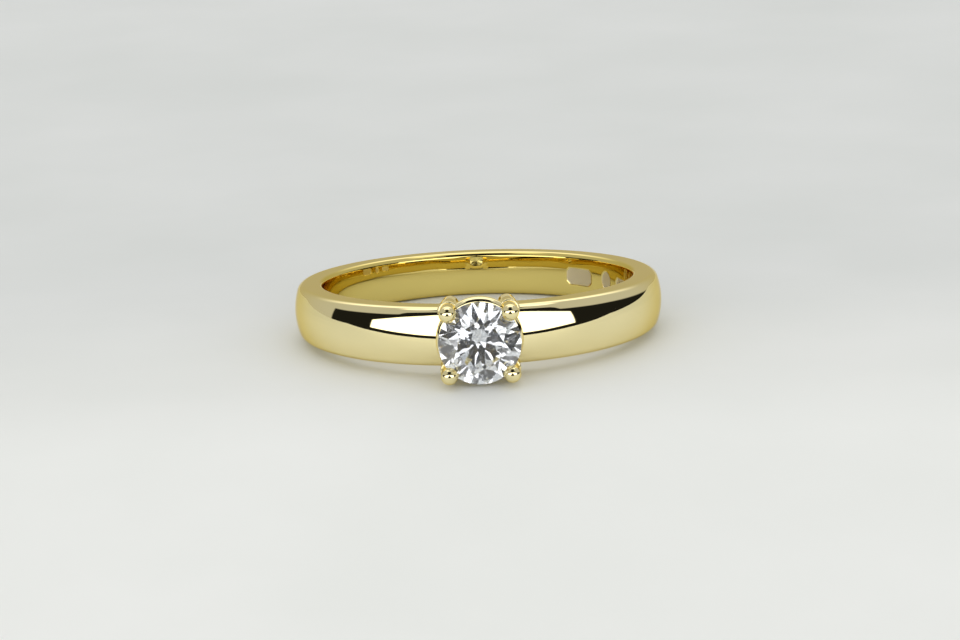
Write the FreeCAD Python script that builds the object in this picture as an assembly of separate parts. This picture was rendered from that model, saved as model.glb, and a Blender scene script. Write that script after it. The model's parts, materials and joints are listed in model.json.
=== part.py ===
"""Solitaire engagement ring: a D-section shank, a four-claw head and one round brilliant stone.

The frame is the finger's: the origin is the centre of the finger bore, half way across the band.
+Z runs along the bore, -Y points out through the middle of the stone, and X runs across the head.
A height in the head is a distance from the bore axis along -Y. All sizes are in millimetres.
"""

import FreeCAD, Part
import math
import os

from FreeCAD import Rotation, Vector

# Finger and shank
BORE_RADIUS = 8.65
BACK_WALL = 1.50  # bore to crown, opposite the stone
HEAD_WALL = 1.85  # bore to crown, beside the head
BACK_WIDTH = 2.50
SHOULDER_COVER = 0.07  # how far the band's sides reach past the middle of the claws' feet
CROWN_RADIUS = 3.7  # the low dome across the band
OUTER_EDGE_RADIUS = 0.45
BORE_EDGE_RADIUS = 0.35
BORE_EDGE_ANGLE = 20.0  # between the bore and the softened edge where they meet
OPENING_ANGLE = 5.0  # half of the gap between the strip's ends, before they are fitted to the head
SECTION_COUNT = 25
BORE_SECTORS = 8

# Stone
STONE_DIAMETER = 4.5
TABLE_DIAMETER = 2.56
CROWN_ANGLE = 34.5
PAVILION_ANGLE = 40.8
GIRDLE_THICKNESS = 0.14
STAR_LENGTH = 0.52  # share of the way from the table's edge to the girdle
LOWER_HALF_LENGTH = 0.77  # share of the way from the girdle to the culet
STONE_FOLDS = 8
STONE_TURN = 9.0  # how far the stone was turned in its seat when it was set
CULET_CLEARANCE = 1.34  # from the finger to the culet

# Claws
CLAW_COUNT = 4
TIP_RADIUS = 0.47
POST_STEP = 0.08  # how much thicker the post is than the prong above it
POST_TAPER = 0.09  # how much thinner the foot is than the post
TIP_OVERHANG = 0.32  # how far a tip reaches in over the girdle
CLAW_LEAN = 3.6  # degrees, so that the claws close in towards the finger
TIP_RISE = 0.30  # from the middle of the girdle to the centre of a tip
STEP_DEPTH = 0.88  # from the middle of the girdle down to the step where the prong meets its post
STEP_ROUND = 0.06
SEAT_CLEARANCE = 0.015
POST_STRAIGHT = 1.1  # how far the post keeps its full thickness below the step

# Rails
GALLERY_WIRE_RADIUS = 0.34
GALLERY_DEPTH = 1.05  # from the middle of the girdle to the middle of the wire
GALLERY_OVERSIZE = 0.12  # how far the rail stands out past the stone
BASE_RING_WALL = 0.65
BASE_RING_BITE = 0.21  # how deep the claws' feet are let into the ring
BASE_RING_HEIGHT = 0.85  # above the finger, on the middle line
BASE_RING_ROUND = 0.15

# Solder
FILLET = 0.13

# Blank punch marks inside the band: angle round from the back of the band, length along it, height
MARK_DEPTH = 0.05
MARKS = (
    ("clipped", 43.0, 1.9, 0.95),
    ("oval", 58.5, 0.9, 1.15),
    ("clipped", 71.0, 1.5, 0.85),
)
MARK_CORNER = 0.22

SPARE = 1.5  # how far a cutting tool reaches past what it cuts

# Worked out from the sizes above
DIAGONAL = math.sqrt(0.5)
POST_RADIUS = TIP_RADIUS + POST_STEP
FOOT_RADIUS = POST_RADIUS - POST_TAPER
STONE_RADIUS = STONE_DIAMETER / 2
CROWN_SLOPE = math.tan(math.radians(CROWN_ANGLE))
PAVILION_SLOPE = math.tan(math.radians(PAVILION_ANGLE))
CULET_HEIGHT = BORE_RADIUS + CULET_CLEARANCE
GIRDLE_LOW = CULET_HEIGHT + STONE_RADIUS * PAVILION_SLOPE
GIRDLE_MIDDLE = GIRDLE_LOW + GIRDLE_THICKNESS / 2
GIRDLE_HIGH = GIRDLE_LOW + GIRDLE_THICKNESS
HALF_FOLD = math.cos(math.pi / STONE_FOLDS)
TABLE_RADIUS = TABLE_DIAMETER / 2  # to the table's corners
TABLE_HEIGHT = GIRDLE_HIGH + (STONE_RADIUS - TABLE_RADIUS) * CROWN_SLOPE
STAR_RADIUS = TABLE_RADIUS * HALF_FOLD + STAR_LENGTH * (STONE_RADIUS - TABLE_RADIUS * HALF_FOLD)
STAR_HEIGHT = GIRDLE_HIGH + (STONE_RADIUS - STAR_RADIUS * HALF_FOLD) * CROWN_SLOPE
LOWER_RADIUS = STONE_RADIUS * (1 - LOWER_HALF_LENGTH)
LOWER_HEIGHT = GIRDLE_LOW - (STONE_RADIUS - LOWER_RADIUS * HALF_FOLD) * PAVILION_SLOPE
STEP_HEIGHT = GIRDLE_MIDDLE - STEP_DEPTH
TIP_HEIGHT = GIRDLE_MIDDLE + TIP_RISE
TIP_SPREAD = STONE_RADIUS - TIP_OVERHANG + TIP_RADIUS  # stone's axis to a tip's centre
GALLERY_HEIGHT = GIRDLE_MIDDLE - GALLERY_DEPTH
GALLERY_OUTER = STONE_RADIUS + GALLERY_OVERSIZE
GALLERY_MIDDLE = GALLERY_OUTER - GALLERY_WIRE_RADIUS
BASE_RING_TOP = BORE_RADIUS + BASE_RING_HEIGHT
FOOT_SPREAD = TIP_SPREAD - (TIP_HEIGHT - BASE_RING_TOP) * math.tan(math.radians(CLAW_LEAN))
BASE_RING_OUTER = FOOT_SPREAD - FOOT_RADIUS + BASE_RING_BITE
BASE_RING_INNER = BASE_RING_OUTER - BASE_RING_WALL
HEAD_WIDTH = 2 * (FOOT_SPREAD * math.sin(math.pi / CLAW_COUNT) + SHOULDER_COVER)
FAR_BELOW = BORE_RADIUS - SPARE
FAR_ABOVE = TABLE_HEIGHT + SPARE


def head_frame(shape):
    """Stands a shape that was made about +Z on the head's axis, with its heights along -Y."""
    shape.rotate(Vector(0, 0, 0), Vector(1, 0, 0), 90)
    return shape


def arc(start, middle, end):
    return Part.Arc(start, middle, end).toShape()


def line(start, end):
    return Part.LineSegment(start, end).toShape()


def revolved(edges):
    """A solid of revolution about Z from a closed outline that touches or clears the axis."""
    face = Part.Face(Part.Wire(Part.__sortEdges__(edges)))
    return Part.Solid(face.revolve(Vector(0, 0, 0), Vector(0, 0, 1), 360))


def outline(points):
    """The straight edges of a closed outline in the XZ plane, from (radius, height) pairs."""
    places = [Vector(r, 0, h) for r, h in points]
    return [line(a, b) for a, b in zip(places, places[1:] + places[:1]) if a != b]


def post_about_stone(radius):
    """A plain cylinder round the stone's axis, through the whole head."""
    return head_frame(Part.makeCylinder(radius, FAR_ABOVE - FAR_BELOW, Vector(0, 0, FAR_BELOW)))


def finger(extra=0.0):
    """The finger's cylinder, longer than the head is broad."""
    reach = TIP_SPREAD + TIP_RADIUS + SPARE
    return Part.makeCylinder(BORE_RADIUS + extra, 2 * reach, Vector(0, 0, -reach))


def finger_sectors():
    """The finger's cylinder in equal sectors, which leave the long bore wall in short faces."""
    reach = TIP_SPREAD + TIP_RADIUS + SPARE
    turn = 360 / BORE_SECTORS
    sectors = []
    for i in range(BORE_SECTORS):
        low_end = Vector(0, 0, -reach)
        sector = Part.makeCylinder(BORE_RADIUS, 2 * reach, low_end, Vector(0, 0, 1), turn)
        sector.rotate(Vector(0, 0, 0), Vector(0, 0, 1), turn * i - 90)
        sectors.append(sector)
    return sectors


# ---- shank -----------------------------------------------------------------------------------


def share_of_head(angle):
    """1 beside the head and 0 at the back of the band."""
    return (1 + math.cos(angle)) / 2


def band_section(angle, grow=0.0):
    """The band's closed section at an angle from the head: straight bore line, softened bore
    edges, flat sides, rounded outer edges and a low dome."""
    share = share_of_head(angle)
    half = (BACK_WIDTH + (HEAD_WIDTH - BACK_WIDTH) * share) / 2 + grow
    crown = BORE_RADIUS + BACK_WALL + (HEAD_WALL - BACK_WALL) * share + grow
    dome = crown - CROWN_RADIUS
    inner = CROWN_RADIUS - OUTER_EDGE_RADIUS
    edge = dome + math.sqrt(inner**2 - (half - OUTER_EDGE_RADIUS) ** 2)
    edge_turn = math.acos((edge - dome) / inner)
    soft = BORE_RADIUS + BORE_EDGE_RADIUS * math.cos(math.radians(BORE_EDGE_ANGLE))

    def place(radius, z):
        return Vector(radius * math.sin(angle), -radius * math.cos(angle), z)

    def on_edge(turn, side):
        radius = edge + OUTER_EDGE_RADIUS * math.cos(turn)
        return place(radius, side * (half - OUTER_EDGE_RADIUS + OUTER_EDGE_RADIUS * math.sin(turn)))

    def on_bore_edge(turn, side):
        radius = soft - BORE_EDGE_RADIUS * math.cos(turn)
        return place(radius, side * (half - BORE_EDGE_RADIUS + BORE_EDGE_RADIUS * math.sin(turn)))

    quarter = math.pi / 2
    halfway = (edge_turn + quarter) / 2
    dome_top = on_edge(edge_turn, 1)
    dome_low = on_edge(edge_turn, -1)
    return Part.Wire(
        [
            line(on_bore_edge(0, -1), on_bore_edge(0, 1)),
            arc(on_bore_edge(0, 1), on_bore_edge(quarter / 2, 1), on_bore_edge(quarter, 1)),
            line(on_bore_edge(quarter, 1), on_edge(quarter, 1)),
            arc(on_edge(quarter, 1), on_edge(halfway, 1), dome_top),
            arc(dome_top, place(crown, 0), dome_low),
            arc(dome_low, on_edge(halfway, -1), on_edge(quarter, -1)),
            line(on_edge(quarter, -1), on_bore_edge(quarter, -1)),
            arc(on_bore_edge(quarter, -1), on_bore_edge(quarter / 2, -1), on_bore_edge(0, -1)),
        ]
    )


def open_band(grow=0.0):
    """The bent D-section strip, open at the head, with its bore cut true."""
    start = math.radians(OPENING_ANGLE)
    step = (2 * math.pi - 2 * start) / (SECTION_COUNT - 1)
    sections = [band_section(start + step * i, grow) for i in range(SECTION_COUNT)]
    return Part.makeLoft(sections, True, False).cut(finger_sectors())


def punch_mark(kind, angle, length, height):
    """A shallow blank punch, ready to cut into the bore wall at an angle from the band's back."""
    if kind == "oval":
        ellipse = Part.Ellipse(Vector(0, 0, 0), max(length, height) / 2, min(length, height) / 2)
        wire = Part.Wire([ellipse.toShape()])
        if height > length:
            wire.rotate(Vector(0, 0, 0), Vector(0, 0, 1), 90)
    else:
        x, y, c = length / 2, height / 2, MARK_CORNER
        corners = [(x, c - y), (x, y - c), (x - c, y), (c - x, y)]
        corners += [(-x, y - c), (-x, c - y), (c - x, -y), (x - c, -y)]
        wire = Part.makePolygon([Vector(a, b, 0) for a, b in corners + corners[:1]])
    depth = BORE_RADIUS + MARK_DEPTH
    tool = Part.Face(wire).extrude(Vector(0, 0, depth))
    tool.rotate(Vector(0, 0, 0), Vector(1, 0, 0), -90)
    tool = tool.common(finger(MARK_DEPTH))
    tool.rotate(Vector(0, 0, 0), Vector(0, 0, 1), -angle)
    return tool


# ---- stone -----------------------------------------------------------------------------------


def at(radius, turn, height):
    """A point of the stone, turned in eighths of a circle from the first main facet."""
    angle = math.radians(turn * 360 / STONE_FOLDS)
    return Vector(radius * math.cos(angle), radius * math.sin(angle), height)


def keep_below(shape, a, b, c):
    """Cuts a facet: takes away what lies outside the plane through three points."""
    normal = (b - a).cross(c - a)
    normal.normalize()
    if normal.dot(a - Vector(0, 0, GIRDLE_MIDDLE)) < 0:
        normal = normal * -1
    size = 4 * STONE_DIAMETER
    block = Part.makeBox(size, size, size, Vector(-size / 2, -size / 2, 0))
    block.Placement = FreeCAD.Placement((a + b + c) / 3, Rotation(Vector(0, 0, 1), normal))
    return shape.cut(block)


def round_brilliant():
    """A round brilliant: table, star, main and half facets over a scalloped round girdle."""
    stone = Part.makeCylinder(
        STONE_RADIUS, TABLE_HEIGHT - CULET_HEIGHT, Vector(0, 0, CULET_HEIGHT)
    )
    for i in range(STONE_FOLDS):
        rim, rim_half, rim_next = (at(STONE_RADIUS, i + t, GIRDLE_HIGH) for t in (0, 0.5, 1))
        foot, foot_half, foot_next = (at(STONE_RADIUS, i + t, GIRDLE_LOW) for t in (0, 0.5, 1))
        star_before, star = (at(STAR_RADIUS, i + t, STAR_HEIGHT) for t in (-0.5, 0.5))
        low_before, low = (at(LOWER_RADIUS, i + t, LOWER_HEIGHT) for t in (-0.5, 0.5))
        corner, corner_next = (at(TABLE_RADIUS, i + t, TABLE_HEIGHT) for t in (0, 1))
        stone = keep_below(stone, star_before, star, rim)  # crown main
        stone = keep_below(stone, star, rim, rim_half)  # crown halves
        stone = keep_below(stone, star, rim_half, rim_next)
        stone = keep_below(stone, corner, corner_next, star)  # star
        stone = keep_below(stone, low_before, low, foot)  # pavilion main
        stone = keep_below(stone, low, foot, foot_half)  # pavilion halves
        stone = keep_below(stone, low, foot_half, foot_next)
    stone.rotate(Vector(0, 0, 0), Vector(0, 0, 1), STONE_TURN)
    return head_frame(stone)


def seat_tool():
    """The outline that the stone's corners sweep, with a little clearance all round. The setter
    cuts it into the claws."""
    slack = SEAT_CLEARANCE
    corners = [
        (0, CULET_HEIGHT - slack),
        (LOWER_RADIUS + slack, LOWER_HEIGHT - slack),
        (STONE_RADIUS + slack, GIRDLE_LOW - slack),
        (STONE_RADIUS + slack, GIRDLE_HIGH + slack),
        (STAR_RADIUS + slack, STAR_HEIGHT + slack),
        (TABLE_RADIUS + slack, TABLE_HEIGHT + slack),
        (0, TABLE_HEIGHT + slack),
    ]
    return head_frame(revolved(outline(corners)))


# ---- head ------------------------------------------------------------------------------------


def claw_profile(grow=0.0):
    """One claw's half outline about its own axis, as heights above the finger's axis."""
    tip, post, foot = TIP_RADIUS + grow, POST_RADIUS + grow, FOOT_RADIUS + grow
    step, soft = STEP_HEIGHT + grow, STEP_ROUND
    low = FAR_BELOW
    points = [(0, low), (foot, low), (post, step - POST_STRAIGHT), (post, step - soft)]
    places = [Vector(r, 0, h) for r, h in points]
    edges = [line(a, b) for a, b in zip(places, places[1:])]
    shoulder = Vector(post - soft, 0, step)
    bend = Vector(post - soft + DIAGONAL * soft, 0, step - soft + DIAGONAL * soft)
    edges.append(arc(places[-1], bend, shoulder))
    prong = Vector(tip, 0, step)
    if prong != shoulder:
        edges.append(line(shoulder, prong))
    top = Vector(tip, 0, TIP_HEIGHT)
    dome = Vector(tip * DIAGONAL, 0, TIP_HEIGHT + tip * DIAGONAL)
    apex = Vector(0, 0, TIP_HEIGHT + tip)
    return edges + [line(prong, top), arc(top, dome, apex), line(apex, places[0])]


def raw_claw(index, grow=0.0):
    """A claw before it is let into the rails and cut to the stone and the finger."""
    claw = revolved(claw_profile(grow))
    pivot = Vector(0, 0, TIP_HEIGHT)
    claw.rotate(pivot, Vector(0, 1, 0), CLAW_LEAN)
    claw.translate(Vector(TIP_SPREAD, 0, 0))
    claw.rotate(Vector(0, 0, 0), Vector(0, 0, 1), 360 / CLAW_COUNT * (index + 0.5))
    return head_frame(claw)


def raw_gallery_rail():
    return head_frame(
        Part.makeTorus(GALLERY_MIDDLE, GALLERY_WIRE_RADIUS, Vector(0, 0, GALLERY_HEIGHT))
    )


def raw_base_ring():
    """A flat ring with rounded top edges, hollowed underneath to the finger."""
    low, top, soft = FAR_BELOW, BASE_RING_TOP, BASE_RING_ROUND
    inner, outer = BASE_RING_INNER, BASE_RING_OUTER
    corner = soft * (1 - DIAGONAL)
    edges = [
        line(Vector(inner, 0, low), Vector(outer, 0, low)),
        line(Vector(outer, 0, low), Vector(outer, 0, top - soft)),
        arc(
            Vector(outer, 0, top - soft),
            Vector(outer - corner, 0, top - corner),
            Vector(outer - soft, 0, top),
        ),
        line(Vector(outer - soft, 0, top), Vector(inner + soft, 0, top)),
        arc(
            Vector(inner + soft, 0, top),
            Vector(inner + corner, 0, top - corner),
            Vector(inner, 0, top - soft),
        ),
        line(Vector(inner, 0, top - soft), Vector(inner, 0, low)),
    ]
    return head_frame(revolved(edges)).cut(finger())


def largest(shape):
    """The main solid of a cut, without the crumbs that a grazing cut can leave."""
    return max(shape.Solids, key=lambda solid: solid.Volume)


def notched(rail, rail_middle, claws):
    """The rail with a notch for each claw, as deep as the rail's middle line. The claws' inner
    sides give way to what is left, so the two are halved into each other."""
    core = post_about_stone(rail_middle)
    for claw in claws:
        rail = rail.cut(claw.cut(core))
    return largest(rail)


def solder_bead(index, neighbours):
    """The fillet of solder in the crease where a claw stands in the shank's shoulder."""
    bead = raw_claw(index, FILLET).common(open_band(FILLET))
    for solid in neighbours:
        bead = bead.cut(solid)
    return largest(bead)


# ---- assembly --------------------------------------------------------------------------------


def corner_name(claw):
    """Where a claw stands, as the wearer's name for it."""
    centre = claw.CenterOfMass
    return f"{'upper' if centre.z > 0 else 'lower'}_{'right' if centre.x > 0 else 'left'}"


def build():
    """Every separate piece of the ring, by name."""
    raw_claws = [raw_claw(i) for i in range(CLAW_COUNT)]
    gallery = notched(raw_gallery_rail(), GALLERY_MIDDLE, raw_claws)
    base = notched(raw_base_ring(), (BASE_RING_INNER + BASE_RING_OUTER) / 2, raw_claws)
    head_space = post_about_stone(BASE_RING_OUTER)

    shank = open_band().cut(head_space)
    for claw in raw_claws:
        shank = shank.cut(claw)
    for mark in MARKS:
        shank = shank.cut(punch_mark(*mark))
    shank = largest(shank)

    pieces = {
        "shank": shank,
        "base_ring": base,
        "gallery_rail": gallery,
        "centre_stone": round_brilliant(),
    }
    seat = seat_tool()
    for i, claw in enumerate(raw_claws):
        corner = corner_name(claw)
        fitted = claw.cut(seat).cut(finger()).cut(gallery).cut(base)
        pieces[f"claw_{corner}"] = largest(fitted)
        pieces[f"solder_{corner}"] = solder_bead(i, (claw, shank, head_space, finger()))
    return pieces


def main():
    os.makedirs("parts", exist_ok=True)
    for name, shape in sorted(build().items()):
        shape.exportStep(f"parts/{name}.step")
        print(f"{name:18s} {shape.Volume:9.4f} mm3, valid {shape.isValid()}")


main()
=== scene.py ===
"""The looks of a polished gold solitaire ring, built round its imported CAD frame.

Lengths are written in millimetres in the ring's own frame (bore along Z, stone facing -Y) and
become metres when a mesh is made. A height in the head is a distance from the bore axis along -Y.
"""

import json
import math

import bmesh
import bpy
import numpy as np
from mathutils import Matrix, Vector


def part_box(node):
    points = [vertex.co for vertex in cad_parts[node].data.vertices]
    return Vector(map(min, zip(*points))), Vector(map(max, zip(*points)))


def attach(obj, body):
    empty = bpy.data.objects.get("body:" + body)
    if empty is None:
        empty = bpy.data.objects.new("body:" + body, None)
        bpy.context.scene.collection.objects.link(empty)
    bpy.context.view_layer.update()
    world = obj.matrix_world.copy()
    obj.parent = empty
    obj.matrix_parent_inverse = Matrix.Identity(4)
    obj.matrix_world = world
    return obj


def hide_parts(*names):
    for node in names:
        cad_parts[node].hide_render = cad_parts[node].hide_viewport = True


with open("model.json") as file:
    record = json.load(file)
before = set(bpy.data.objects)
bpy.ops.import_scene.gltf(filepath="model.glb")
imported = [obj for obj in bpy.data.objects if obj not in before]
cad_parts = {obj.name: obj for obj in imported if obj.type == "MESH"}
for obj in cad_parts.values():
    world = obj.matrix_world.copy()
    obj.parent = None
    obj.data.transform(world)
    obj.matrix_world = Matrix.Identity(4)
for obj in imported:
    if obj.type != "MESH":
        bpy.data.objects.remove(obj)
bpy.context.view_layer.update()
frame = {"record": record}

MM = 0.001
TURN = 2 * math.pi


def node_box(node):
    """The lowest and highest corners of a CAD node, in millimetres."""
    low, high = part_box(node)
    return low / MM, high / MM


# ---- sizes -----------------------------------------------------------------------------------

# Band
BORE = frame["record"]["mounts"][0]["dims"]["r_mm"]
_, SHANK_HIGH = node_box("shank")
HEAD_HALF = SHANK_HIGH.z
BACK_HALF = 1.25
BACK_WALL = SHANK_HIGH.y - BORE
HEAD_WALL = 1.85
DOME_RADIUS = 3.7
OUTER_EDGE = 0.45
BORE_EDGE = 0.35
BORE_EDGE_START = math.radians(20)
COMFORT_RADIUS = 11.0  # of the bore wall's slight curve across the band

# Head
RAIL_LOW, RAIL_HIGH = node_box("gallery_rail")
RAIL_WIRE = (RAIL_HIGH.y - RAIL_LOW.y) / 2
RAIL_RADIUS = RAIL_HIGH.x - RAIL_WIRE
RAIL_HEIGHT = -(RAIL_HIGH.y + RAIL_LOW.y) / 2
BASE_LOW, BASE_HIGH = node_box("base_ring")
BASE_OUTER = BASE_HIGH.x
BASE_WALL = 0.65
BASE_INNER = BASE_OUTER - BASE_WALL
BASE_TOP = -BASE_LOW.y
BASE_ROUND = 0.15

# Claws
CLAW_LOW, _ = node_box("claw_upper_right")
TIP = 0.47
POST = 0.55
FOOT = 0.46
TIP_HEIGHT = -CLAW_LOW.y - TIP
CLAW_LEAN = math.radians(3.6)
STEP_DROP = 1.18
STEP_ROUND = 0.06
POST_STRAIGHT = 1.1
FOOT_DROP = TIP_HEIGHT - BORE + 0.6  # from the tip's centre, down past the bore wall

# Stone
STONE_LOW, STONE_HIGH = node_box("centre_stone")
STONE_RADIUS = STONE_HIGH.x
TABLE_HEIGHT = -STONE_LOW.y
CULET_HEIGHT = -STONE_HIGH.y
TABLE_RADIUS = 1.28
CROWN_SLOPE = math.tan(math.radians(34.5))
PAVILION_SLOPE = math.tan(math.radians(40.8))
STAR_LENGTH = 0.52
LOWER_HALF_LENGTH = 0.77
FOLDS = 8
HALF_FOLD = math.cos(math.pi / FOLDS)
STONE_TURN = math.radians(9)
GIRDLE_LOW = CULET_HEIGHT + STONE_RADIUS * PAVILION_SLOPE
GIRDLE_HIGH = TABLE_HEIGHT - (STONE_RADIUS - TABLE_RADIUS) * CROWN_SLOPE
STAR_RADIUS = TABLE_RADIUS * HALF_FOLD + STAR_LENGTH * (STONE_RADIUS - TABLE_RADIUS * HALF_FOLD)
STAR_HEIGHT = GIRDLE_HIGH + (STONE_RADIUS - STAR_RADIUS * HALF_FOLD) * CROWN_SLOPE
LOWER_RADIUS = STONE_RADIUS * (1 - LOWER_HALF_LENGTH)
LOWER_HEIGHT = GIRDLE_LOW - (STONE_RADIUS - LOWER_RADIUS * HALF_FOLD) * PAVILION_SLOPE
TIP_OVERLAP = 0.32
TIP_SPREAD = STONE_RADIUS - TIP_OVERLAP + TIP
SEAT_CLEARANCE = 0.015

# Solder: the rolling ball's radius, and where its path ends, as an angle round the band's dome
FILLET = 0.13
FILLET_END = 0.16

# Blank punch marks inside the band: angle round from the back of the band, length along it, height
MARK_DEPTH = 0.05
MARK_CORNER = 0.22
MARK_SLOPE = (-0.02, 0.05)  # how far inside its outline a mark's slope starts and ends
MARKS = (
    ("clipped", 43.0, 1.9, 0.95),
    ("oval", 58.5, 0.9, 1.15),
    ("clipped", 71.0, 1.5, 0.85),
)

# Mesh density
BAND_STEPS = 1080
CLAW_STEPS = 96
RING_STEPS = 192
WIRE_STEPS = 32
STONE_STEPS = 128


# ---- mesh helpers ----------------------------------------------------------------------------


def make_piece(name, points, faces):
    """A smooth-shaded mesh object from points in millimetres."""
    mesh = bpy.data.meshes.new(name)
    mesh.from_pydata((np.asarray(points, float) * MM).tolist(), [], faces)
    mesh.validate()
    mesh.polygons.foreach_set("use_smooth", [True] * len(mesh.polygons))
    piece = bpy.data.objects.new(name, mesh)
    bpy.context.scene.collection.objects.link(piece)
    return piece


def grid_faces(rows, columns, wrap_rows=False, wrap_columns=False):
    """Quads over a grid of rows x columns points, which may wrap round either way."""
    i = np.arange(rows if wrap_rows else rows - 1)
    j = np.arange(columns if wrap_columns else columns - 1)
    i, j = (a.ravel() for a in np.meshgrid(i, j, indexing="ij"))
    right, down = (j + 1) % columns, (i + 1) % rows
    quads = np.stack([i * columns + j, i * columns + right, down * columns + right, down * columns + j])
    return quads.T.tolist()


def face_outward(piece):
    """Makes every face of a closed mesh point out."""
    shape = bmesh.new()
    shape.from_mesh(piece.data)
    bmesh.ops.recalc_face_normals(shape, faces=shape.faces)
    shape.to_mesh(piece.data)
    shape.free()


def head_points(radius, turn, height):
    """Points round the stone's axis: turn from +X towards +Z, height out along -Y."""
    radius, turn, height = np.broadcast_arrays(radius, turn, height)
    return np.stack([radius * np.cos(turn), -height, radius * np.sin(turn)], -1)


def rise(given, low, high):
    """0 at low and 1 at high, with a smooth start and end."""
    share = np.clip((given - low) / (high - low), 0, 1)
    return share * share * (3 - 2 * share)


# ---- band ------------------------------------------------------------------------------------


def outer_arcs(half, crown):
    """Where the dome's arc meets the outer edge's: both centres' radii, and the angle round to it."""
    dome = crown - DOME_RADIUS
    inner = DOME_RADIUS - OUTER_EDGE
    edge = dome + np.sqrt(inner**2 - (half - OUTER_EDGE) ** 2)
    return dome, edge, np.arccos((edge - dome) / inner)


def band_profile(share):
    """The band's closed section for each share of the head's size: (radius, z), one row each."""
    share = np.asarray(share, float)[:, None]
    half = BACK_HALF + (HEAD_HALF - BACK_HALF) * share
    crown = BORE + BACK_WALL + (HEAD_WALL - BACK_WALL) * share
    dome, edge, edge_turn = outer_arcs(half, crown)
    soft = BORE + BORE_EDGE * math.cos(BORE_EDGE_START)

    # the bore wall, from its middle
    along = np.linspace(0, 1, 25)[None, :-1]
    bore_half = half - BORE_EDGE * (1 - math.sin(BORE_EDGE_START))
    z = [bore_half * along]
    rho = [BORE + z[0] ** 2 / (2 * COMFORT_RADIUS)]

    # its rounded edge
    turn = np.linspace(BORE_EDGE_START, math.pi / 2, 15)[None, :-1]
    fall = bore_half**2 / (2 * COMFORT_RADIUS)
    eased = fall * (math.pi / 2 - turn) / (math.pi / 2 - BORE_EDGE_START)
    rho.append(soft - BORE_EDGE * np.cos(turn) + eased)
    z.append(half - BORE_EDGE + BORE_EDGE * np.sin(turn))

    # the flat side
    along = np.linspace(0, 1, 9)[None, :-1]
    rho.append(soft + (edge - soft) * along)
    z.append(half + 0 * along)

    # the outer edge
    along = np.linspace(0, 1, 25)[None, :-1]
    turn = math.pi / 2 + (edge_turn - math.pi / 2) * along
    rho.append(edge + OUTER_EDGE * np.cos(turn))
    z.append(half - OUTER_EDGE + OUTER_EDGE * np.sin(turn))

    # the dome, up to the band's middle, and then the same again mirrored
    along = np.linspace(0, 1, 33)[None, :]
    turn = edge_turn * (1 - along)
    rho.append(dome + DOME_RADIUS * np.cos(turn))
    z.append(DOME_RADIUS * np.sin(turn))

    rho, z = np.concatenate(rho, 1), np.concatenate(z, 1)
    rho = np.concatenate([rho, rho[:, -2:0:-1]], 1)
    z = np.concatenate([z, -z[:, -2:0:-1]], 1)
    return rho, z


def profile_at(angles):
    """The section's (radius, z) where each column of the section has its own angle."""
    share = (1 + np.cos(angles)) / 2
    rho = np.empty_like(angles)
    z = np.empty_like(angles)
    for column in range(angles.shape[1]):
        radii, heights = band_profile(share[:, column])
        rho[:, column] = radii[:, column]
        z[:, column] = heights[:, column]
    return rho, z


def punch_share(turn, z):
    """1 inside the blank punch marks and 0 outside; turn is the angle round from the band's back."""
    share = np.zeros_like(z)
    for kind, angle, length, height in MARKS:
        x = np.abs((turn - math.radians(angle)) * BORE)
        y = np.abs(z)
        if kind == "oval":
            inside = (1 - np.hypot(x / (length / 2), y / (height / 2))) * min(length, height) / 2
        else:
            corner = length / 2 + height / 2 - MARK_CORNER
            straight = np.minimum(length / 2 - x, height / 2 - y)
            inside = np.minimum(straight, (corner - x - y) / math.sqrt(2))
        share = np.maximum(share, rise(inside, *MARK_SLOPE))
    return share


def build_shank():
    """The bent band, whose ends follow the base ring's outside, with the blank marks struck in it."""
    rho, z = band_profile([1.0])
    opening = np.arcsin(np.sqrt(BASE_OUTER**2 - z**2) / rho)
    steps = np.linspace(0, 1, BAND_STEPS)[:, None]
    middle = opening.mean()
    angles = middle + steps * (TURN - 2 * middle)
    reach = math.radians(14)
    near = np.clip(1 - (angles - middle) / reach, 0, 1)
    far = np.clip(1 - (TURN - middle - angles) / reach, 0, 1)
    angles = angles + (opening - middle) * (near**2 - far**2)
    rho, z = profile_at(angles)
    wall_depth = 0.1
    punched = punch_share(math.pi - angles, z) * (rho < BORE + wall_depth)
    rho = rho + MARK_DEPTH * punched
    points = np.stack([rho * np.sin(angles), -rho * np.cos(angles), z], -1)
    rows, columns = angles.shape
    faces = grid_faces(rows, columns, wrap_columns=True)
    # each end is closed by strips across the band, whose section is the same above and below
    last = (rows - 1) * columns
    for i in range(columns // 2):
        strip = list(dict.fromkeys([i, i + 1, columns - i - 1, (columns - i) % columns]))
        if len(strip) > 2:
            faces.append(strip)
            faces.append([last + corner for corner in reversed(strip)])
    piece = make_piece("shank_band", points.reshape(-1, 3), faces)
    face_outward(piece)
    # painted shade: the bore wall's share, which the gold is painted darker and deeper on, standing in
    # for the bore's shade and its gold-on-gold reflections
    inside = 1 - rise(rho, BORE + 0.12, BORE + 0.3)
    for title, share in (("frost", punched), ("inside", inside)):
        layer = piece.data.attributes.new(title, "FLOAT", "POINT")
        layer.data.foreach_set("value", share.ravel())
    return piece


# ---- head ------------------------------------------------------------------------------------


def build_rail():
    """A round wire ring close under the stone."""
    around = np.linspace(0, TURN, RING_STEPS, endpoint=False)[:, None]
    wire = np.linspace(0, TURN, WIRE_STEPS, endpoint=False)[None, :]
    points = head_points(
        RAIL_RADIUS + RAIL_WIRE * np.cos(wire), around, RAIL_HEIGHT + RAIL_WIRE * np.sin(wire)
    )
    faces = grid_faces(RING_STEPS, WIRE_STEPS, True, True)
    piece = make_piece("gallery_rail_wire", points.reshape(-1, 3), faces)
    face_outward(piece)
    return piece


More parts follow.
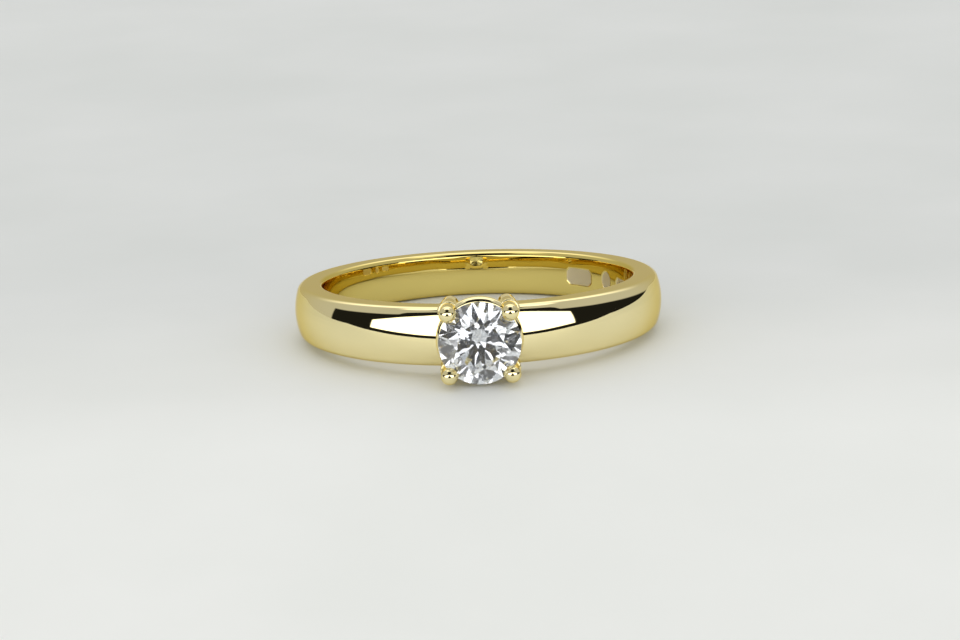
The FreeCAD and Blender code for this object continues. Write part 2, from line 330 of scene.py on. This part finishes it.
def build_base_ring():
    """A flat ring with rounded top edges, hollowed underneath to the bore."""
    quarter = np.linspace(0, math.pi / 2, 8)
    radius = np.concatenate(
        [
            BASE_OUTER - BASE_ROUND + BASE_ROUND * np.cos(quarter),
            BASE_INNER + BASE_ROUND - BASE_ROUND * np.sin(quarter),
        ]
    )
    height = np.concatenate(
        [
            BASE_TOP - BASE_ROUND + BASE_ROUND * np.sin(quarter),
            BASE_TOP - BASE_ROUND + BASE_ROUND * np.cos(quarter),
        ]
    )
    around = np.linspace(0, TURN, RING_STEPS, endpoint=False)[:, None]
    top = head_points(radius[None, :], around, height[None, :])
    under_radius = np.linspace(BASE_INNER, BASE_OUTER, 8)[None, :]
    under = head_points(under_radius, around, np.sqrt(BORE**2 - (under_radius * np.cos(around)) ** 2))
    points = np.concatenate([top, under], 1)
    faces = grid_faces(RING_STEPS, points.shape[1], True, True)
    piece = make_piece("base_ring_flat", points.reshape(-1, 3), faces)
    face_outward(piece)
    return piece


def claw_matrix(index):
    """Places a claw made about +Z, with its tip's centre at the origin, in the ring."""
    turn = TURN * (index + 0.5) / 4
    lean = Matrix.Rotation(CLAW_LEAN, 4, "Y")
    out = Matrix.Translation((TIP_SPREAD, 0, TIP_HEIGHT))
    return Matrix.Rotation(math.pi / 2, 4, "X") @ Matrix.Rotation(turn, 4, "Z") @ out @ lean


def seat(points):
    """Cuts the stone's seat: moves points that would lie in the stone straight out of it."""
    slack = SEAT_CLEARANCE
    outline = [
        (CULET_HEIGHT - slack, 0),
        (GIRDLE_LOW - slack, STONE_RADIUS + slack),
        (GIRDLE_HIGH + slack, STONE_RADIUS + slack),
        (STAR_HEIGHT + slack, STAR_RADIUS + slack),
        (TABLE_HEIGHT + slack, TABLE_RADIUS + slack),
    ]
    heights, radii = zip(*outline)
    room = np.interp(-points[..., 1], heights, radii, left=0, right=0)
    radius = np.hypot(points[..., 0], points[..., 2])
    push = np.maximum(room / radius, 1)[..., None]
    return points * np.where([True, False, True], push, 1)


def build_claw(name, index):
    """A round claw with a ball tip, a stepped post that tapers to its foot, and the stone's seat."""
    dome = np.linspace(0, math.pi / 2, 28)[1:]
    step = -STEP_DROP
    round_turn = np.linspace(math.pi / 2, 0, 8)
    radius = np.concatenate(
        [
            TIP * np.sin(dome),
            [TIP] * 8,
            POST - STEP_ROUND + STEP_ROUND * np.cos(round_turn),
            [POST] * 5,
            np.linspace(POST, FOOT, 12)[1:],
        ]
    )
    height = np.concatenate(
        [
            TIP * np.cos(dome),
            np.linspace(0, step, 9)[1:],
            step - STEP_ROUND + STEP_ROUND * np.sin(round_turn),
            np.linspace(step - STEP_ROUND, step - POST_STRAIGHT, 6)[1:],
            np.linspace(step - POST_STRAIGHT, -FOOT_DROP, 12)[1:],
        ]
    )
    around = np.linspace(0, TURN, CLAW_STEPS, endpoint=False)
    ring = np.stack(
        [
            radius[:, None] * np.cos(around),
            radius[:, None] * np.sin(around),
            np.broadcast_to(height[:, None], (len(height), CLAW_STEPS)),
        ],
        -1,
    )
    matrix = np.array(claw_matrix(index))
    placed = ring @ matrix[:3, :3].T + matrix[:3, 3]
    apex = matrix[:3, :3] @ np.array([0, 0, TIP]) + matrix[:3, 3]
    # the foot ends on the bore: points short of it slide out along the claw to it
    axis = matrix[:3, 2]
    foot_clearance = 0.004
    for _ in range(4):
        rho = np.hypot(placed[..., 0], placed[..., 1])
        short = np.clip(BORE + foot_clearance - rho, 0, None)
        slope = -(placed[..., 0] * axis[0] + placed[..., 1] * axis[1]) / rho
        placed = placed - (short / slope)[..., None] * axis
    placed = seat(placed)
    rows = len(radius)
    points = np.concatenate([placed.reshape(-1, 3), [apex]])
    faces = grid_faces(rows, CLAW_STEPS, wrap_columns=True)
    top = rows * CLAW_STEPS
    faces += [[top, i, (i + 1) % CLAW_STEPS] for i in range(CLAW_STEPS)]
    faces.append([(rows - 1) * CLAW_STEPS + i for i in range(CLAW_STEPS)])
    piece = make_piece(name, points, faces)
    face_outward(piece)
    return piece


def build_solder(name, side_x, side_z):
    """The fillet in the crease between a claw and the band, as a ball rolled along it leaves it."""
    half = HEAD_HALF
    dome, edge, edge_turn = outer_arcs(half, BORE + HEAD_WALL)
    low = BORE + BORE_EDGE
    # the band's section, as points on its surface and the way out of it at each
    flat = np.linspace(0, 1, 14)[:-1]
    bend = np.linspace(math.pi / 2, edge_turn, 12)[:-1]
    over = np.linspace(edge_turn, FILLET_END, 16)
    rho = np.concatenate(
        [low + (edge - low) * flat, edge + OUTER_EDGE * np.cos(bend), dome + DOME_RADIUS * np.cos(over)]
    )
    z = np.concatenate(
        [half + 0 * flat, half - OUTER_EDGE + OUTER_EDGE * np.sin(bend), DOME_RADIUS * np.sin(over)]
    )
    out = np.concatenate([math.pi / 2 + 0 * flat, bend, over])
    # the ball shrinks to a small one at both ends of its path; its centre is a radius off the band
    along = np.linspace(0, 1, len(rho))
    end_share = 0.12
    ball = FILLET * (end_share + (1 - end_share) * rise(along, 0, 0.12) * rise(along, 1, 0.9))
    rho, z = rho + ball * np.cos(out), z + ball * np.sin(out)

    matrix = np.array(claw_matrix(0))
    tip, axis = matrix[:3, 3], matrix[:3, 2]

    def spot(theta):
        return np.stack([rho * np.sin(theta), -rho * np.cos(theta), z], -1)

    def from_axis(place):
        """The way from the claw's axis to a place, and the place's distance from the claw."""
        down = (tip - place) @ axis
        away = place - (tip - down[:, None] * axis)
        thick = np.interp(down, [STEP_DROP + POST_STRAIGHT, FOOT_DROP], [POST, FOOT])
        return away, np.linalg.norm(away, axis=1) - thick

    # the ball's place round the band is between a start inside the claw and one well clear of it
    inside_claw = 1.55
    near = np.full(len(rho), math.asin(inside_claw / (BORE + HEAD_WALL)))
    far = near + math.radians(9)
    for _ in range(40):
        middle = (near + far) / 2
        clear = from_axis(spot(middle))[1] > ball
        far = np.where(clear, middle, far)
        near = np.where(clear, near, middle)
    centre = spot(far)
    away, _ = from_axis(centre)
    away /= np.linalg.norm(away, axis=1)[:, None]
    normal = np.stack([np.cos(out) * np.sin(far), -np.cos(out) * np.cos(far), np.sin(out)], -1)
    share = np.linspace(0, 1, 9)[None, :, None]
    spread = away[:, None] * (1 - share) + normal[:, None] * share
    spread /= np.linalg.norm(spread, axis=-1, keepdims=True)
    hollow = centre[:, None] - spread * ball[:, None, None]
    # the hollow is closed by a root sunk a little past the crease, inside the metal
    sink = 1.2
    root = centre - (away + normal) * (sink * ball / (1 + (away * normal).sum(1)))[:, None]
    points = np.concatenate([hollow, root[:, None]], 1) * (side_x, 1, side_z)
    rows, columns = points.shape[:2]
    faces = grid_faces(rows, columns, wrap_columns=True)
    faces += [list(range(columns)), [(rows - 1) * columns + i for i in range(columns)]]
    piece = make_piece(name, points.reshape(-1, 3), faces)
    face_outward(piece)
    return piece


# ---- stone -----------------------------------------------------------------------------------


def stone_point(radius, turn, height):
    """A point on the stone, about +Z, at a turn counted in main facets."""
    angle = turn * TURN / FOLDS
    return Vector((radius * math.cos(angle), radius * math.sin(angle), height)) * MM


def cut_facet(shape, a, b, c):
    """Grinds a flat through three points, and keeps the stone's side of it."""
    normal = (b - a).cross(c - a).normalized()
    if normal.dot(a - Vector((0, 0, (GIRDLE_LOW + GIRDLE_HIGH) / 2 * MM))) < 0:
        normal.negate()
    everything = shape.verts[:] + shape.edges[:] + shape.faces[:]
    cut = bmesh.ops.bisect_plane(
        shape, geom=everything, dist=1e-9, plane_co=a, plane_no=normal, clear_outer=True
    )
    rim = [e for e in cut["geom_cut"] if isinstance(e, bmesh.types.BMEdge)]
    if rim:
        bmesh.ops.holes_fill(shape, edges=rim)


def build_stone():
    """A round brilliant, ground facet by facet from a round blank."""
    shape = bmesh.new()
    depth = (TABLE_HEIGHT - CULET_HEIGHT) * MM
    bmesh.ops.create_cone(
        shape, cap_ends=True, segments=STONE_STEPS, radius1=STONE_RADIUS * MM, radius2=STONE_RADIUS * MM,
        depth=depth, matrix=Matrix.Translation((0, 0, CULET_HEIGHT * MM + depth / 2)),
    )
    for i in range(FOLDS):
        rim, rim_half, rim_next = (stone_point(STONE_RADIUS, i + t, GIRDLE_HIGH) for t in (0, 0.5, 1))
        foot, foot_half, foot_next = (stone_point(STONE_RADIUS, i + t, GIRDLE_LOW) for t in (0, 0.5, 1))
        before, point = (stone_point(STAR_RADIUS, i + t, STAR_HEIGHT) for t in (-0.5, 0.5))
        low_before, low = (stone_point(LOWER_RADIUS, i + t, LOWER_HEIGHT) for t in (-0.5, 0.5))
        corner, corner_next = (stone_point(TABLE_RADIUS, i + t, TABLE_HEIGHT) for t in (0, 1))
        cut_facet(shape, before, point, rim)
        cut_facet(shape, point, rim, rim_half)
        cut_facet(shape, point, rim_half, rim_next)
        cut_facet(shape, corner, corner_next, point)
        cut_facet(shape, low_before, low, foot)
        cut_facet(shape, low, foot, foot_half)
        cut_facet(shape, low, foot_half, foot_next)
    bmesh.ops.remove_doubles(shape, verts=shape.verts, dist=1e-8)
    bmesh.ops.recalc_face_normals(shape, faces=shape.faces)
    mesh = bpy.data.meshes.new("centre_stone_cut")
    shape.to_mesh(mesh)
    shape.free()
    mesh.transform(Matrix.Rotation(math.pi / 2, 4, "X") @ Matrix.Rotation(STONE_TURN, 4, "Z"))
    piece = bpy.data.objects.new("centre_stone_cut", mesh)
    bpy.context.scene.collection.objects.link(piece)
    return piece


# ---- materials -------------------------------------------------------------------------------


def new_material(name):
    """A node-based material: itself, its nodes, its links and its shader."""
    material = bpy.data.materials.new(name)
    material.use_nodes = True
    nodes, links = material.node_tree.nodes, material.node_tree.links
    return material, nodes, links, nodes["Principled BSDF"]


def noise(nodes, links, place, scale, detail):
    """Cloudy noise over the object's own space, which is in metres."""
    texture = nodes.new("ShaderNodeTexNoise")
    texture.inputs["Scale"].default_value = scale
    texture.inputs["Detail"].default_value = detail
    links.new(place, texture.inputs["Vector"])
    return texture.outputs["Fac"]


def ranged(nodes, links, given, low, high):
    """Spreads the middle of a noise's range from low to high."""
    spread = nodes.new("ShaderNodeMapRange")
    spread.inputs["From Min"].default_value = 0.3
    spread.inputs["From Max"].default_value = 0.7
    spread.inputs["To Min"].default_value = low
    spread.inputs["To Max"].default_value = high
    links.new(given, spread.inputs["Value"])
    return spread.outputs["Result"]


def toned(nodes, links, given, first, second):
    """Turns a noise into colours between two."""
    ramp = nodes.new("ShaderNodeValToRGB")
    ramp.color_ramp.elements[0].position = 0.3
    ramp.color_ramp.elements[1].position = 0.7
    ramp.color_ramp.elements[0].color = (*first, 1)
    ramp.color_ramp.elements[1].color = (*second, 1)
    links.new(given, ramp.inputs["Fac"])
    return ramp.outputs["Color"]


def gold_material():
    """Mirror-polished plating with faint waves and hairlines, matt where the punches struck it, and
    painted a darker, deeper gold on the bore wall as painted shade and painted reflection of gold in
    gold.
    """
    material, nodes, links, shader = new_material("polished_gold")
    shader.inputs["Metallic"].default_value = 1.0
    shader.inputs["Specular Tint"].default_value = (0.88, 0.76, 0.42, 1)
    place = nodes.new("ShaderNodeTexCoord").outputs["Object"]
    broad = noise(nodes, links, place, scale=180.0, detail=2.0)
    plating = toned(nodes, links, broad, (0.94, 0.825, 0.455), (0.96, 0.85, 0.485))
    inside, frost = nodes.new("ShaderNodeAttribute"), nodes.new("ShaderNodeAttribute")
    inside.attribute_name, frost.attribute_name = "inside", "frost"
    # the bore wall's tint is painted shade and painted reflection of gold in gold; the frost tint is the
    # punch marks' own matt tone
    for share, tint in ((inside, (0.81, 0.655, 0.21, 1)), (frost, (0.70, 0.62, 0.44, 1))):
        colour = nodes.new("ShaderNodeMix")
        colour.data_type = "RGBA"
        colour.inputs["B"].default_value = tint
        links.new(share.outputs["Fac"], colour.inputs["Factor"])
        links.new(plating, colour.inputs["A"])
        plating = colour.outputs["Result"]
    links.new(plating, shader.inputs["Base Color"])
    hairlines = noise(nodes, links, place, scale=2600.0, detail=3.0)
    hairlines = ranged(nodes, links, hairlines, 0.012, 0.035)
    # roughness: the hairlines', and this much more where it is frosted
    rough = nodes.new("ShaderNodeMath")
    rough.operation = "MULTIPLY_ADD"
    rough.inputs[1].default_value = 0.45
    links.new(frost.outputs["Fac"], rough.inputs[0])
    links.new(hairlines, rough.inputs[2])
    links.new(rough.outputs[0], shader.inputs["Roughness"])
    waves = nodes.new("ShaderNodeBump")
    waves.inputs["Strength"].default_value = 0.12
    waves.inputs["Distance"].default_value = 0.15 * MM
    links.new(noise(nodes, links, place, scale=330.0, detail=1.0), waves.inputs["Height"])
    links.new(waves.outputs["Normal"], shader.inputs["Normal"])
    return material


def stone_material():
    """Clear crystal, very slightly uneven in colour, with a little matt white that lifts its darks."""
    material, nodes, links, shader = new_material("clear_stone")
    shader.inputs["Transmission Weight"].default_value = 0.95
    shader.inputs["Roughness"].default_value = 0.0
    shader.inputs["IOR"].default_value = 2.17
    place = nodes.new("ShaderNodeTexCoord").outputs["Object"]
    uneven = noise(nodes, links, place, scale=700.0, detail=1.0)
    tint = toned(nodes, links, uneven, (0.86, 0.91, 1.0), (0.985, 0.99, 0.985))
    links.new(tint, shader.inputs["Base Color"])
    return material


def floor_material():
    """Pale matt stone, with faint clouds, and painted shade that makes it a little greyer behind the
    ring.
    """
    material, nodes, links, shader = new_material("pale_floor_painted_shade")
    place = nodes.new("ShaderNodeTexCoord").outputs["Object"]
    clouds = noise(nodes, links, place, scale=60.0, detail=4.0)
    parts = nodes.new("ShaderNodeSeparateXYZ")
    links.new(place, parts.inputs["Vector"])
    # painted shade: the floor's colour darkens from in front of the ring to behind it, standing in for
    # less light falling there
    depth = nodes.new("ShaderNodeMapRange")
    depth.interpolation_type = "SMOOTHSTEP"
    depth.inputs["From Min"].default_value = -14 * MM
    depth.inputs["From Max"].default_value = 16 * MM
    links.new(parts.outputs["Y"], depth.inputs["Value"])
    colour = nodes.new("ShaderNodeMix")
    colour.data_type = "RGBA"
    front = toned(nodes, links, clouds, (0.81, 0.825, 0.79), (0.85, 0.86, 0.83))
    back = toned(nodes, links, clouds, (0.71, 0.73, 0.705), (0.76, 0.775, 0.755))
    links.new(depth.outputs["Result"], colour.inputs["Factor"])
    links.new(front, colour.inputs["A"])
    links.new(back, colour.inputs["B"])
    links.new(colour.outputs["Result"], shader.inputs["Base Color"])
    links.new(ranged(nodes, links, clouds, 0.6, 0.75), shader.inputs["Roughness"])
    return material


# ---- pieces on the frame ---------------------------------------------------------------------

CLAWS = ("claw_upper_right", "claw_upper_left", "claw_lower_left", "claw_lower_right")

gold = gold_material()
clear = stone_material()
fitted = []


def fit(piece, material, node):
    """Puts a piece in its CAD node's place, on the ring's one body."""
    fitted.append(piece)
    piece.data.materials.append(material)
    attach(piece, "root")
    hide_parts(node)


fit(build_shank(), gold, "shank")
fit(build_rail(), gold, "gallery_rail")
fit(build_base_ring(), gold, "base_ring")
for i, node in enumerate(CLAWS):
    fit(build_claw(node + "_turned", i), gold, node)
    solder = node.replace("claw", "solder")
    sides = (1 if "right" in node else -1, 1 if "upper" in node else -1)
    fit(build_solder(solder + "_fillet", *sides), gold, solder)
fit(build_stone(), clear, "centre_stone")

# ---- stage -----------------------------------------------------------------------------------

# Levels of light, as the world's brightness in each part of the studio
ROOM_LEVEL = 0.54
BRIGHT_LEVEL = 1.45
FLAG_LEVEL = 0.03
DARK_LEVEL = 0.012
WINDOW_LEVEL = 2.3
DOME_LEVEL = 0.78
BACKDROP_LEVEL = 0.6

# Camera
CAMERA_DISTANCE = 250.0
CAMERA_ELEVATION = math.radians(10.8)
CAMERA_ROLL = math.radians(2.23)
CAMERA_LENS = 166.1
AIM_RIGHT = 0.06
AIM_DOWN = 1.05


def resting_line():
    """The flat that the ring lies on, seen from the side: its front point's y and z, and its slope."""
    spots = []
    for piece in fitted:
        place = np.empty(len(piece.data.vertices) * 3)
        piece.data.vertices.foreach_get("co", place)
        spots.append(place.reshape(-1, 3)[:, 1:] / MM)
    spots = np.concatenate(spots)
    spots = spots[np.argsort(spots[:, 0])]
    # the underside's convex outline, from front to back
    hull = []
    for y, z in spots[spots[:, 1] < 0]:
        while len(hull) > 1:
            (y0, z0), (y1, z1) = hull[-2:]
            if (z1 - z0) * (y - y0) < (z - z0) * (y1 - y0):
                break
            hull.pop()
        hull.append((y, z))
    for (y0, z0), (y1, z1) in zip(hull, hull[1:]):
        if y0 < 0 <= y1:
            return y0, z0, (z1 - z0) / (y1 - y0)


# Floor: level under the ring as it lies, and bending down in front of it over a length
FRONT_Y, FRONT_Z, SLOPE = resting_line()
TILT = math.atan(SLOPE)
FALL = math.tan(TILT + math.radians(10))
FALL_LENGTH = 9.0
FLOOR_HALF = 3000.0


def build_floor():
    """A pale slab that falls away gently in front of the ring."""
    bend = np.linspace(0, FALL_LENGTH, 25)
    ahead = np.concatenate([[-FLOOR_HALF], bend, [FLOOR_HALF]])
    turned = np.clip(ahead, 0, FALL_LENGTH)
    beyond = np.clip(ahead - FALL_LENGTH, 0, None)
    drop = SLOPE * ahead + (FALL - SLOPE) * (turned**2 / (2 * FALL_LENGTH) + beyond)
    y, z = FRONT_Y - ahead, FRONT_Z - drop
    points = np.stack([np.stack([0 * y + x, y, z], -1) for x in (-FLOOR_HALF, FLOOR_HALF)], 1)
    floor = make_piece("floor", points.reshape(-1, 3), grid_faces(len(y), 2))
    floor.data.materials.append(floor_material())


def build_camera():
    """Looks at the ring from the front and a little above, tilted to one side."""
    right = Vector((1, 0, 0))
    up = Vector((0, math.sin(CAMERA_ELEVATION), math.cos(CAMERA_ELEVATION)))
    back = Vector((0, -math.cos(CAMERA_ELEVATION), math.sin(CAMERA_ELEVATION)))
    place = back * CAMERA_DISTANCE
    aim = right * AIM_RIGHT - up * AIM_DOWN
    view_back = (place - aim).normalized()
    side = (right * math.cos(CAMERA_ROLL) - up * math.sin(CAMERA_ROLL)).normalized()
    side = (side - view_back * side.dot(view_back)).normalized()
    head = view_back.cross(side)
    camera = bpy.data.objects.new("camera", bpy.data.cameras.new("camera"))
    rotation = Matrix((side, head, view_back)).transposed().to_4x4()
    camera.matrix_world = Matrix.Translation(place * MM) @ rotation
    camera.data.sensor_width = 36.0
    camera.data.lens = CAMERA_LENS
    camera.data.clip_start = 0.01
    camera.data.clip_end = 20.0
    bpy.context.scene.collection.objects.link(camera)
    bpy.context.scene.camera = camera


class Sheet:
    """Builds arithmetic from shader nodes. What is given is a number or another node's output."""

    def __init__(self, tree):
        self.nodes, self.links = tree.nodes, tree.links

    def give(self, socket, given):
        if isinstance(given, (int, float)):
            socket.default_value = given
        else:
            self.links.new(given, socket)

    def value(self, operation, *inputs):
        node = self.nodes.new("ShaderNodeMath")
        node.operation = operation
        for socket, given in zip(node.inputs, inputs):
            self.give(socket, given)
        return node.outputs[0]

    def smooth(self, given, low, high):
        """0 at low and 1 at high, or the other way round when low is above high."""
        node = self.nodes.new("ShaderNodeMapRange")
        node.interpolation_type = "SMOOTHSTEP"
        node.inputs["From Min"].default_value = min(low, high)
        node.inputs["From Max"].default_value = max(low, high)
        node.inputs["To Min"].default_value = 0.0 if low < high else 1.0
        node.inputs["To Max"].default_value = 1.0 if low < high else 0.0
        self.links.new(given, node.inputs["Value"])
        return node.outputs["Result"]

    def between(self, given, low, high, soft):
        """1 between low and high, with soft edges."""
        start = self.smooth(given, low - soft, low + soft)
        end = self.smooth(given, high + soft, high - soft)
        return self.value("MULTIPLY", start, end)

    def mix(self, share, low, high):
        """Low where the share is 0, and high where it is 1."""
        node = self.nodes.new("ShaderNodeMix")
        node.data_type = "FLOAT"
        self.links.new(share, node.inputs[0])
        self.give(node.inputs[2], low)
        self.give(node.inputs[3], high)
        return node.outputs[0]


def build_studio():
    """A pale room with a dark front, in which a broad window stands.

    Everything is placed by its direction in degrees: azimuth 0 is straight in front of the ring and
    positive towards +X, and elevation is above the floor that the ring lies on.
    """
    world = bpy.data.worlds.new("studio")
    bpy.context.scene.world = world
    world.use_nodes = True
    tree = world.node_tree
    sheet = Sheet(tree)
    place = tree.nodes.new("ShaderNodeTexCoord")
    turn = tree.nodes.new("ShaderNodeVectorRotate")
    turn.rotation_type = "X_AXIS"
    turn.inputs["Angle"].default_value = -TILT
    tree.links.new(place.outputs["Generated"], turn.inputs["Vector"])
    parts = tree.nodes.new("ShaderNodeSeparateXYZ")
    tree.links.new(turn.outputs["Vector"], parts.inputs["Vector"])
    x, y, z = parts.outputs
    degrees = 180 / math.pi
    azimuth = sheet.value("ARCTAN2", x, sheet.value("MULTIPLY", y, -1.0))
    ahead = sheet.value("COSINE", azimuth)
    azimuth = sheet.value("MULTIPLY", azimuth, degrees)
    aside = sheet.value("ABSOLUTE", azimuth)
    elevation = sheet.value("MULTIPLY", sheet.value("ARCSINE", z), degrees)

    # window: its top edge is level and straight, so it sinks towards the sides
    head_rise = sheet.value("MULTIPLY", ahead, 0.66)
    head = sheet.value("MULTIPLY", sheet.value("ARCTANGENT", head_rise), degrees)
    under_head = sheet.smooth(sheet.value("SUBTRACT", elevation, head), 0.7, -0.7)
    window = sheet.value("MULTIPLY", sheet.between(azimuth, -71, 61.5, 0.7), under_head)
    sill = sheet.value("MULTIPLY_ADD", ahead, -10.0, 4.6)
    over_sill = sheet.smooth(sheet.value("SUBTRACT", elevation, sill), -0.5, 0.5)
    window = sheet.value("MULTIPLY", window, over_sill)
    # tripod in front of the window, narrower towards its top
    leg = sheet.value("MULTIPLY_ADD", elevation, -0.65, 21.0)
    tripod = sheet.smooth(sheet.value("SUBTRACT", aside, leg), 1.0, -1.0)
    window = sheet.value("MULTIPLY", window, sheet.value("SUBTRACT", 1.0, tripod))

    # dark front and sides, lower towards the back, arched over the window, with a flag above that
    lid = sheet.value("MULTIPLY_ADD", aside, -0.307, 42.6)
    lid = sheet.value("MULTIPLY_ADD", azimuth, -0.012, lid)
    arch = sheet.value("MULTIPLY_ADD", sheet.value("MULTIPLY", aside, aside), -0.0105, 58.0)
    lid = sheet.value("MAXIMUM", lid, arch)
    dark = sheet.value(
        "MULTIPLY",
        sheet.between(azimuth, -105, 136, 0.8),
        sheet.smooth(sheet.value("SUBTRACT", elevation, lid), 0.7, -0.7),
    )
    flag = sheet.value(
        "MULTIPLY",
        sheet.smooth(sheet.value("ABSOLUTE", x), 0.36, 0.30),
        sheet.smooth(y, -0.06, -0.14),
    )
    flag = sheet.value("MULTIPLY", flag, sheet.smooth(elevation, 20, 24))

    # pale room, brighter overhead and behind
    behind = sheet.value(
        "MULTIPLY", sheet.smooth(aside, 125, 150), sheet.between(elevation, 34, 62, 14)
    )
    overhead = sheet.value("MULTIPLY", sheet.smooth(elevation, 60, 66), sheet.smooth(y, -0.14, -0.06))
    level = sheet.mix(sheet.value("MAXIMUM", behind, overhead), ROOM_LEVEL, BRIGHT_LEVEL)
    level = sheet.mix(flag, level, FLAG_LEVEL)
    level = sheet.mix(dark, level, DARK_LEVEL)
    level = sheet.mix(window, level, WINDOW_LEVEL)

    # what lights matt surfaces is the window and an even soft dome, and the backdrop is plain
    light_path = tree.nodes.new("ShaderNodeLightPath")
    soft = sheet.mix(window, DOME_LEVEL, WINDOW_LEVEL)
    level = sheet.mix(light_path.outputs["Is Diffuse Ray"], level, soft)
    level = sheet.mix(light_path.outputs["Is Camera Ray"], level, BACKDROP_LEVEL)
    background = tree.nodes["Background"]
    tree.links.new(level, background.inputs["Color"])


build_floor()
build_camera()
build_studio()

scene = bpy.context.scene
scene.view_settings.view_transform = "Standard"
scene.cycles.max_bounces = 24
scene.cycles.glossy_bounces = 16
scene.cycles.transmission_bounces = 20
scene.cycles.use_denoising = True
